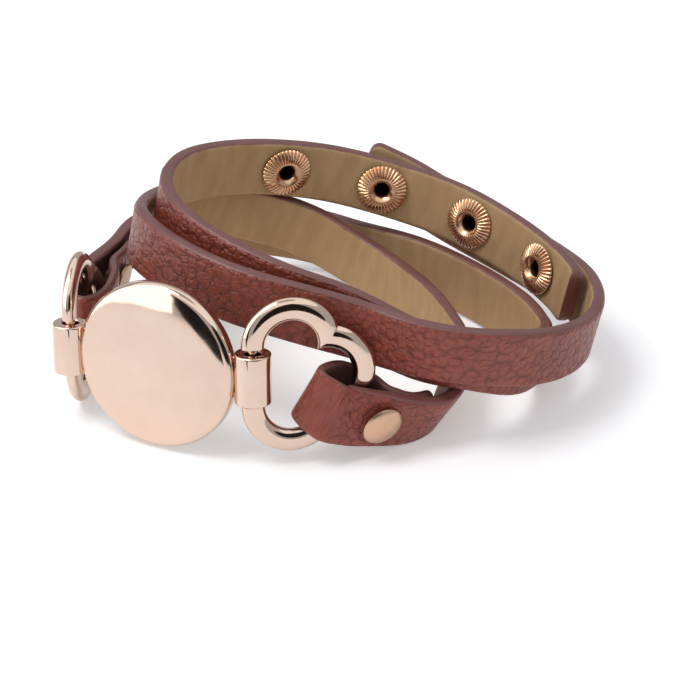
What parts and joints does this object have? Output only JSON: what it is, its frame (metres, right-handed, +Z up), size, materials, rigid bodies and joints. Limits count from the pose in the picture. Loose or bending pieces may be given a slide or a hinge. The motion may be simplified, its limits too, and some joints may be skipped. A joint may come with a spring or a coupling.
{
  "type": "leather wrap bracelet",
  "caption": "Leather wrap bracelet: two pebbled straps leave a polished disc through clover rings, coil three times round the wrist and close with a snap.",
  "frame": {"origin": "On the surface the bracelet stands on, under the middle of its box", "axes": "+X to the right seen from the front of the disc, +Y from the disc towards the back of the coil, +Z up"},
  "size_m": [0.0868, 0.0673, 0.032],
  "materials": {
    "rose_gold": "polished",
    "copper": "polished",
    "leather": "satin"
  },
  "bodies": {
    "root": {"charm_disc": "rose_gold", "right_ring": "rose_gold", "left_ring": "rose_gold", "right_strap": "leather", "left_strap": "leather", "right_rivet": "rose_gold", "left_rivet": "rose_gold", "snap_post_1": "copper", "snap_post_2": "copper", "snap_post_3": "copper", "snap_post_4": "copper", "snap_cap": "rose_gold"}
  },
  "joints": []
}
